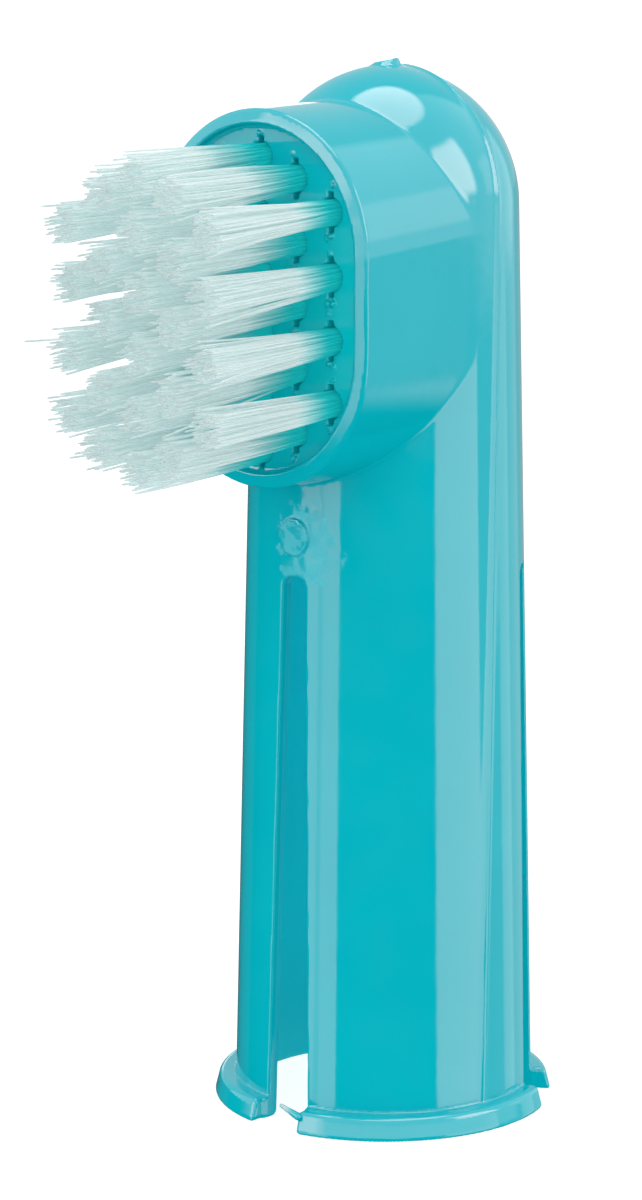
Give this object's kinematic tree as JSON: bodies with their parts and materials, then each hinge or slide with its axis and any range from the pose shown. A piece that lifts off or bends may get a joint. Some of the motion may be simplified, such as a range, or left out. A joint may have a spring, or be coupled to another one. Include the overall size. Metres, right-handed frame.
{
  "type": "pet finger toothbrush",
  "caption": "Thimble-shaped finger toothbrush for a pet: a tapered, domed sleeve with a slotted skirt and a flanged mouth, and a raised oval head of stapled bristle tufts on its front.",
  "frame": {"origin": "centre of the finger socket's mouth, level with the flange's open end", "axes": "+Z along the sleeve from its open mouth to its domed end; the brush head and its bristles face -Y; X runs across the head"},
  "size_m": [0.0198, 0.0307, 0.06],
  "materials": {
    "sleeve_plastic": "glossy injection-moulded teal polypropylene",
    "bristle_nylon": "translucent white nylon filament",
    "anchor_metal": "plain flat wire"
  },
  "bodies": {
    "root": {"finger_sleeve": "sleeve_plastic", "bristle_tuft_01": "bristle_nylon", "bristle_tuft_02": "bristle_nylon", "bristle_tuft_03": "bristle_nylon", "bristle_tuft_04": "bristle_nylon", "bristle_tuft_05": "bristle_nylon", "bristle_tuft_06": "bristle_nylon", "bristle_tuft_07": "bristle_nylon", "bristle_tuft_08": "bristle_nylon", "bristle_tuft_09": "bristle_nylon", "bristle_tuft_10": "bristle_nylon", "bristle_tuft_11": "bristle_nylon", "bristle_tuft_12": "bristle_nylon", "bristle_tuft_13": "bristle_nylon", "bristle_tuft_14": "bristle_nylon", "bristle_tuft_15": "bristle_nylon", "bristle_tuft_16": "bristle_nylon", "bristle_tuft_17": "bristle_nylon", "bristle_tuft_18": "bristle_nylon", "bristle_tuft_19": "bristle_nylon", "bristle_tuft_20": "bristle_nylon", "bristle_tuft_21": "bristle_nylon", "bristle_tuft_22": "bristle_nylon", "bristle_tuft_23": "bristle_nylon", "bristle_tuft_24": "bristle_nylon", "tuft_anchor_01": "anchor_metal", "tuft_anchor_02": "anchor_metal", "tuft_anchor_03": "anchor_metal", "tuft_anchor_04": "anchor_metal", "tuft_anchor_05": "anchor_metal", "tuft_anchor_06": "anchor_metal", "tuft_anchor_07": "anchor_metal", "tuft_anchor_08": "anchor_metal", "tuft_anchor_09": "anchor_metal", "tuft_anchor_10": "anchor_metal", "tuft_anchor_11": "anchor_metal", "tuft_anchor_12": "anchor_metal", "tuft_anchor_13": "anchor_metal", "tuft_anchor_14": "anchor_metal", "tuft_anchor_15": "anchor_metal", "tuft_anchor_16": "anchor_metal", "tuft_anchor_17": "anchor_metal", "tuft_anchor_18": "anchor_metal", "tuft_anchor_19": "anchor_metal", "tuft_anchor_20": "anchor_metal", "tuft_anchor_21": "anchor_metal", "tuft_anchor_22": "anchor_metal", "tuft_anchor_23": "anchor_metal", "tuft_anchor_24": "anchor_metal"}
  },
  "joints": []
}
